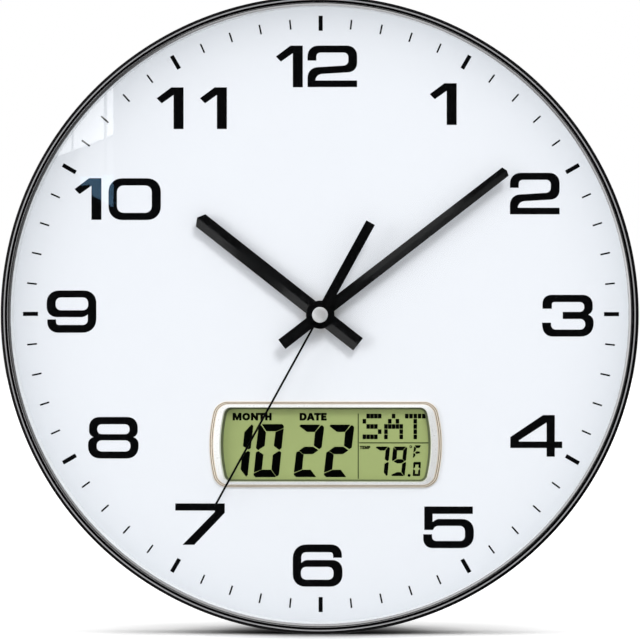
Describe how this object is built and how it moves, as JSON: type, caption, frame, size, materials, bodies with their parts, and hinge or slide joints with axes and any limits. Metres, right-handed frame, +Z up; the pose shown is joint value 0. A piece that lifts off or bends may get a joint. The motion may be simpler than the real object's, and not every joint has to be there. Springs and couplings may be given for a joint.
{
  "type": "wall clock with calendar display",
  "caption": "Round battery wall clock with a black rim, white numbered dial, faceted black hands on a quartz movement and a framed calendar and temperature display.",
  "frame": {"origin": "where the hands' axis meets the wall, in the plane of the back cover's foot ring", "axes": "+Z up, the dial faces -Y and the wall is on the +Y side, +X to the viewer's right"},
  "size_m": [0.3, 0.042, 0.3],
  "materials": {
    "bezel_black": "gloss black moulded rim",
    "crystal_glass": "clear flat glass",
    "gasket_rubber": "soft black seal",
    "spacer_plastic": "white satin moulded inner wall",
    "dial_white": "white satin printed sheet",
    "carrier_plastic": "moulded plastic",
    "cover_plastic": "fine-textured black moulding",
    "screw_steel": "zinc-plated steel",
    "movement_plastic": "moulded plastic",
    "fixing_brass": "turned brass",
    "gear_plastic": "moulded acetal",
    "magnet_steel": "sintered magnet on a plastic pinion",
    "stator_steel": "soft iron sheet",
    "coil_copper": "enamelled copper wire",
    "board_laminate": "green circuit laminate",
    "quartz_metal": "drawn metal can",
    "cell_wrap": "printed sleeve on a steel can",
    "contact_metal": "nickel-plated strip",
    "hand_black": "gloss black lacquer on aluminium",
    "cap_silver": "satin turned cap",
    "frame_pearl": "pearl moulding with gold lines",
    "lcd_green": "display glass",
    "reflector_film": "reflective film",
    "zebra_rubber": "layered contact rubber",
    "driver_epoxy": "black epoxy drop",
    "sensor_bead": "dipped sensor bead",
    "switch_plastic": "moulded switch body",
    "button_plastic": "moulded button"
  },
  "bodies": {
    "case": {"bezel_ring": "bezel_black", "crystal": "crystal_glass", "glass_gasket": "gasket_rubber", "spacer_ring": "spacer_plastic", "dial": "dial_white", "dial_carrier": "carrier_plastic", "back_cover": "cover_plastic", "case_screws": "screw_steel", "movement_front_case": "movement_plastic", "movement_back_case": "movement_plastic", "fixing_washer": "fixing_brass", "fixing_nut": "fixing_brass", "stator": "stator_steel", "coil_core": "stator_steel", "coil": "coil_copper", "movement_board": "board_laminate", "quartz_can": "quartz_metal", "aa_cell": "cell_wrap", "cell_contacts": "contact_metal", "lcd_frame": "frame_pearl", "lcd_front_glass": "lcd_green", "lcd_back_glass": "lcd_green", "lcd_reflector": "reflector_film", "lcd_housing": "carrier_plastic", "zebra_strips": "zebra_rubber", "lcd_board": "board_laminate", "display_driver": "driver_epoxy", "temperature_sensor": "sensor_bead", "board_screws": "screw_steel", "module_screws": "screw_steel", "set_switches": "switch_plastic", "display_cells": "cell_wrap", "display_cell_contacts": "contact_metal"},
    "seconds": {"seconds_wheel": "gear_plastic", "second_hand": "hand_black", "second_cap": "cap_silver"},
    "minutes": {"centre_wheel": "gear_plastic", "minute_hand": "hand_black"},
    "hours": {"hour_wheel": "gear_plastic", "hour_hand": "hand_black"},
    "rotor": {"rotor": "magnet_steel"},
    "intermediate": {"intermediate_wheel": "gear_plastic"},
    "third": {"third_wheel": "gear_plastic"},
    "motion": {"motion_wheel": "gear_plastic"},
    "setting": {"setting_knob": "button_plastic"},
    "button_1": {"set_button_1": "button_plastic"},
    "button_2": {"set_button_2": "button_plastic"},
    "button_3": {"set_button_3": "button_plastic"},
    "button_4": {"set_button_4": "button_plastic"},
    "door": {"battery_door": "cover_plastic"}
  },
  "joints": [
    {"name": "second_hand_turn", "type": "hinge", "parent": "case", "child": "seconds", "pos_m": [0, 0, 0], "axis": [0, 1, 0], "continuous": true},
    {"name": "minute_hand_turn", "type": "hinge", "parent": "case", "child": "minutes", "pos_m": [0, 0, 0], "axis": [0, 1, 0], "continuous": true},
    {"name": "hour_hand_turn", "type": "hinge", "parent": "case", "child": "hours", "pos_m": [0, 0, 0], "axis": [0, 1, 0], "continuous": true},
    {"name": "rotor_turn", "type": "hinge", "parent": "case", "child": "rotor", "pos_m": [-0.01558, 0, 0.01014], "axis": [0, 1, 0], "continuous": true},
    {"name": "intermediate_wheel_turn", "type": "hinge", "parent": "case", "child": "intermediate", "pos_m": [-0.01083, 0, 0.00191], "axis": [0, 1, 0], "continuous": true},
    {"name": "third_wheel_turn", "type": "hinge", "parent": "case", "child": "third", "pos_m": [0.00742, 0, 0.00742], "axis": [0, 1, 0], "continuous": true},
    {"name": "motion_wheel_turn", "type": "hinge", "parent": "case", "child": "motion", "pos_m": [0.00886, 0, -0.00156], "axis": [0, 1, 0], "continuous": true},
    {"name": "setting_knob_turn", "type": "hinge", "parent": "case", "child": "setting", "pos_m": [0.01778, 0, -0.00282], "axis": [0, 1, 0], "continuous": true},
    {"name": "set_button_1_press", "type": "slide", "parent": "case", "child": "button_1", "axis": [0, -1, 0], "range_m": [0, 0.0006], "stiffness_N_per_m": 300, "springref_m": -0.001},
    {"name": "set_button_2_press", "type": "slide", "parent": "case", "child": "button_2", "axis": [0, -1, 0], "range_m": [0, 0.0006], "stiffness_N_per_m": 300, "springref_m": -0.001},
    {"name": "set_button_3_press", "type": "slide", "parent": "case", "child": "button_3", "axis": [0, -1, 0], "range_m": [0, 0.0006], "stiffness_N_per_m": 300, "springref_m": -0.001},
    {"name": "set_button_4_press", "type": "slide", "parent": "case", "child": "button_4", "axis": [0, -1, 0], "range_m": [0, 0.0006], "stiffness_N_per_m": 300, "springref_m": -0.001},
    {"name": "battery_door_tilt", "type": "hinge", "parent": "case", "child": "door", "pos_m": [0, -0.0018, -0.09235], "axis": [1, 0, 0], "range_deg": [0, 80]}
  ],
  "couplings": [
    {"joint": "minute_hand_turn", "follows": "second_hand_turn", "ratio": 0.016667},
    {"joint": "hour_hand_turn", "follows": "second_hand_turn", "ratio": 0.0013889},
    {"joint": "rotor_turn", "follows": "second_hand_turn", "ratio": 30},
    {"joint": "intermediate_wheel_turn", "follows": "second_hand_turn", "ratio": -5},
    {"joint": "third_wheel_turn", "follows": "second_hand_turn", "ratio": -0.13333},
    {"joint": "motion_wheel_turn", "follows": "second_hand_turn", "ratio": -0.0055556},
    {"joint": "setting_knob_turn", "follows": "second_hand_turn", "ratio": 0.016667}
  ]
}
